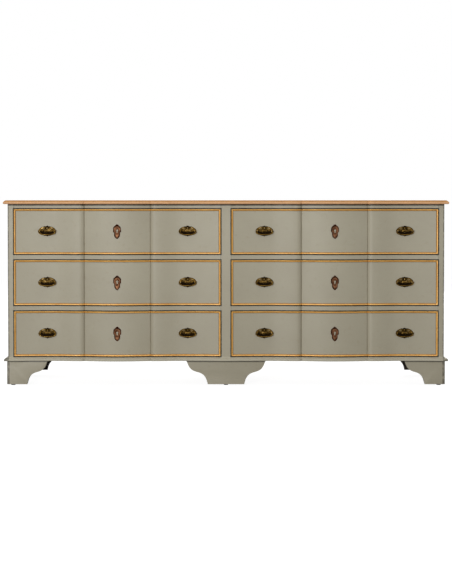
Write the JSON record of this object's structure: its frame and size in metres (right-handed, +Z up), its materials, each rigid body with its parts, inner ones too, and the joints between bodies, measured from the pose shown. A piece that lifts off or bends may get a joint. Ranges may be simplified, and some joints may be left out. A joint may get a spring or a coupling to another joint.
{
  "type": "commode chest",
  "caption": "Wide painted commode chest on bracket feet, with drawers behind a crossbow front, an oak top and brass bail handles.",
  "frame": {"origin": "on the floor under the middle of the top board", "axes": "+Z up, the front faces -Y, +X to the right seen from the front"},
  "size_m": [2, 0.52, 0.8345],
  "materials": {
    "painted_wood": "satin grey-beige paint",
    "oak_top": "satin oiled oak",
    "gilt_bead": "ochre gilt line on the drawer beads",
    "inner_wood": "bare softwood",
    "dark_wood": "black stain",
    "antique_brass": "antiqued, dark in the hollows",
    "antique_copper": "antiqued copper tone",
    "glide_pad": "dark nylon",
    "steel_fasteners": "zinc plated"
  },
  "bodies": {
    "carcase": {"top_board": "oak_top", "face_frame": "painted_wood", "base_moulding": "painted_wood", "back_panel": "inner_wood", "bottom_board": "inner_wood", "centre_partition": "inner_wood", "web_frame_middle": "inner_wood", "web_frame_top": "inner_wood", "foot_front_centre": "painted_wood", "foot_rear_centre": "dark_wood", "side_left": "painted_wood", "side_right": "painted_wood", "foot_front_left": "painted_wood", "foot_front_right": "painted_wood", "foot_rear_left": "painted_wood", "foot_rear_right": "painted_wood", "rear_brace_left": "dark_wood", "rear_brace_right": "dark_wood"},
    "drawer_bottom_left": {"drawer_bottom_left_front": "painted_wood", "drawer_bottom_left_box": "inner_wood", "drawer_bottom_left_escutcheon": "antique_copper", "drawer_bottom_left_plate_left": "antique_brass", "drawer_bottom_left_plate_right": "antique_brass"},
    "drawer_bottom_left_bail_left": {"drawer_bottom_left_bail_left": "antique_brass"},
    "drawer_bottom_left_bail_right": {"drawer_bottom_left_bail_right": "antique_brass"},
    "drawer_bottom_right": {"drawer_bottom_right_front": "painted_wood", "drawer_bottom_right_box": "inner_wood", "drawer_bottom_right_escutcheon": "antique_copper", "drawer_bottom_right_plate_left": "antique_brass", "drawer_bottom_right_plate_right": "antique_brass"},
    "drawer_bottom_right_bail_left": {"drawer_bottom_right_bail_left": "antique_brass"},
    "drawer_bottom_right_bail_right": {"drawer_bottom_right_bail_right": "antique_brass"},
    "drawer_middle_left": {"drawer_middle_left_front": "painted_wood", "drawer_middle_left_box": "inner_wood", "drawer_middle_left_escutcheon": "antique_copper", "drawer_middle_left_plate_left": "antique_brass", "drawer_middle_left_plate_right": "antique_brass"},
    "drawer_middle_left_bail_left": {"drawer_middle_left_bail_left": "antique_brass"},
    "drawer_middle_left_bail_right": {"drawer_middle_left_bail_right": "antique_brass"},
    "drawer_middle_right": {"drawer_middle_right_front": "painted_wood", "drawer_middle_right_box": "inner_wood", "drawer_middle_right_escutcheon": "antique_copper", "drawer_middle_right_plate_left": "antique_brass", "drawer_middle_right_plate_right": "antique_brass"},
    "drawer_middle_right_bail_left": {"drawer_middle_right_bail_left": "antique_brass"},
    "drawer_middle_right_bail_right": {"drawer_middle_right_bail_right": "antique_brass"},
    "drawer_top_left": {"drawer_top_left_front": "painted_wood", "drawer_top_left_box": "inner_wood", "drawer_top_left_escutcheon": "antique_copper", "drawer_top_left_plate_left": "antique_brass", "drawer_top_left_plate_right": "antique_brass"},
    "drawer_top_left_bail_left": {"drawer_top_left_bail_left": "antique_brass"},
    "drawer_top_left_bail_right": {"drawer_top_left_bail_right": "antique_brass"},
    "drawer_top_right": {"drawer_top_right_front": "painted_wood", "drawer_top_right_box": "inner_wood", "drawer_top_right_escutcheon": "antique_copper", "drawer_top_right_plate_left": "antique_brass", "drawer_top_right_plate_right": "antique_brass"},
    "drawer_top_right_bail_left": {"drawer_top_right_bail_left": "antique_brass"},
    "drawer_top_right_bail_right": {"drawer_top_right_bail_right": "antique_brass"}
  },
  "joints": [
    {"name": "drawer_bottom_left_slide", "type": "slide", "parent": "carcase", "child": "drawer_bottom_left", "axis": [0, -1, 0], "range_m": [0, 0.34]},
    {"name": "drawer_bottom_left_bail_left_swing", "type": "hinge", "parent": "drawer_bottom_left", "child": "drawer_bottom_left_bail_left", "pos_m": [-0.80475, -0.22457, 0.2365], "axis": [-1, 0, 0], "range_deg": [-8, 170]},
    {"name": "drawer_bottom_left_bail_right_swing", "type": "hinge", "parent": "drawer_bottom_left", "child": "drawer_bottom_left_bail_right", "pos_m": [-0.17275, -0.22457, 0.2365], "axis": [-1, 0, 0], "range_deg": [-8, 170]},
    {"name": "drawer_bottom_right_slide", "type": "slide", "parent": "carcase", "child": "drawer_bottom_right", "axis": [0, -1, 0], "range_m": [0, 0.34]},
    {"name": "drawer_bottom_right_bail_left_swing", "type": "hinge", "parent": "drawer_bottom_right", "child": "drawer_bottom_right_bail_left", "pos_m": [0.17275, -0.22457, 0.2365], "axis": [-1, 0, 0], "range_deg": [-8, 170]},
    {"name": "drawer_bottom_right_bail_right_swing", "type": "hinge", "parent": "drawer_bottom_right", "child": "drawer_bottom_right_bail_right", "pos_m": [0.80475, -0.22457, 0.2365], "axis": [-1, 0, 0], "range_deg": [-8, 170]},
    {"name": "drawer_middle_left_slide", "type": "slide", "parent": "carcase", "child": "drawer_middle_left", "axis": [0, -1, 0], "range_m": [0, 0.34]},
    {"name": "drawer_middle_left_bail_left_swing", "type": "hinge", "parent": "drawer_middle_left", "child": "drawer_middle_left_bail_left", "pos_m": [-0.80475, -0.22457, 0.4665], "axis": [-1, 0, 0], "range_deg": [-8, 170]},
    {"name": "drawer_middle_left_bail_right_swing", "type": "hinge", "parent": "drawer_middle_left", "child": "drawer_middle_left_bail_right", "pos_m": [-0.17275, -0.22457, 0.4665], "axis": [-1, 0, 0], "range_deg": [-8, 170]},
    {"name": "drawer_middle_right_slide", "type": "slide", "parent": "carcase", "child": "drawer_middle_right", "axis": [0, -1, 0], "range_m": [0, 0.34]},
    {"name": "drawer_middle_right_bail_left_swing", "type": "hinge", "parent": "drawer_middle_right", "child": "drawer_middle_right_bail_left", "pos_m": [0.17275, -0.22457, 0.4665], "axis": [-1, 0, 0], "range_deg": [-8, 170]},
    {"name": "drawer_middle_right_bail_right_swing", "type": "hinge", "parent": "drawer_middle_right", "child": "drawer_middle_right_bail_right", "pos_m": [0.80475, -0.22457, 0.4665], "axis": [-1, 0, 0], "range_deg": [-8, 170]},
    {"name": "drawer_top_left_slide", "type": "slide", "parent": "carcase", "child": "drawer_top_left", "axis": [0, -1, 0], "range_m": [0, 0.34]},
    {"name": "drawer_top_left_bail_left_swing", "type": "hinge", "parent": "drawer_top_left", "child": "drawer_top_left_bail_left", "pos_m": [-0.80475, -0.22457, 0.6965], "axis": [-1, 0, 0], "range_deg": [-8, 170]},
    {"name": "drawer_top_left_bail_right_swing", "type": "hinge", "parent": "drawer_top_left", "child": "drawer_top_left_bail_right", "pos_m": [-0.17275, -0.22457, 0.6965], "axis": [-1, 0, 0], "range_deg": [-8, 170]},
    {"name": "drawer_top_right_slide", "type": "slide", "parent": "carcase", "child": "drawer_top_right", "axis": [0, -1, 0], "range_m": [0, 0.34]},
    {"name": "drawer_top_right_bail_left_swing", "type": "hinge", "parent": "drawer_top_right", "child": "drawer_top_right_bail_left", "pos_m": [0.17275, -0.22457, 0.6965], "axis": [-1, 0, 0], "range_deg": [-8, 170]},
    {"name": "drawer_top_right_bail_right_swing", "type": "hinge", "parent": "drawer_top_right", "child": "drawer_top_right_bail_right", "pos_m": [0.80475, -0.22457, 0.6965], "axis": [-1, 0, 0], "range_deg": [-8, 170]}
  ]
}
